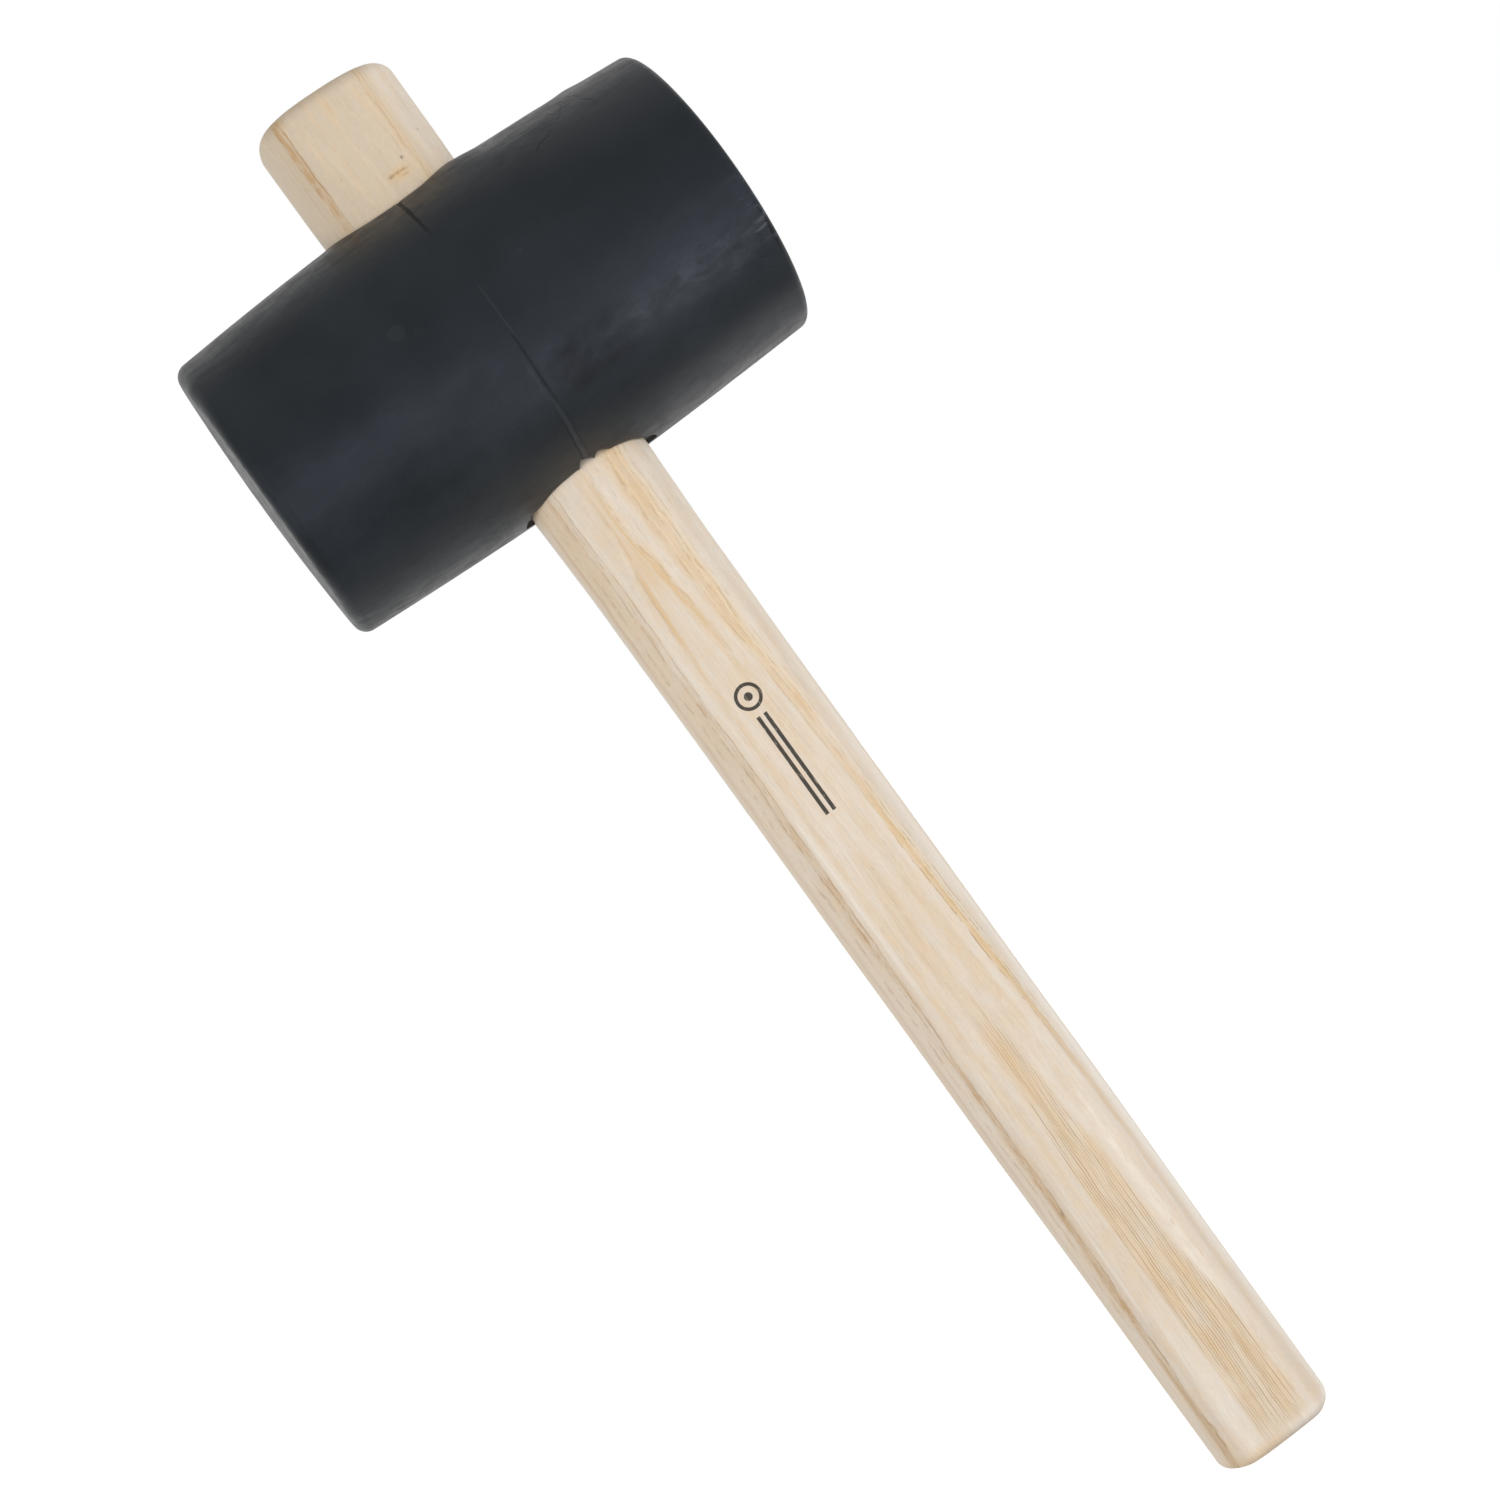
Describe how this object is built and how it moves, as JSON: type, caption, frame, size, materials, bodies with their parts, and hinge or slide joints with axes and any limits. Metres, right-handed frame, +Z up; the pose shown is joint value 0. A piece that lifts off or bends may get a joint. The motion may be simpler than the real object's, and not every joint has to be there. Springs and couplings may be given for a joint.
{
  "type": "rubber mallet",
  "caption": "Black rubber barrel-shaped mallet head with flat striking faces, pressed on a straight pale ash handle whose tapered end passes right through the head.",
  "frame": {"origin": "lowest point of the handle's butt end, on the handle's axis", "axes": "+Z up the handle towards the head, +X along the head's axis out of one striking face, +Y across the head and handle"},
  "size_m": [0.113, 0.0706, 0.3362],
  "materials": {
    "head_rubber": "satin moulded black rubber",
    "handle_ash": "smooth sanded ash with a thin clear coat"
  },
  "bodies": {
    "root": {"rubber_head": "head_rubber", "handle": "handle_ash"}
  },
  "joints": []
}
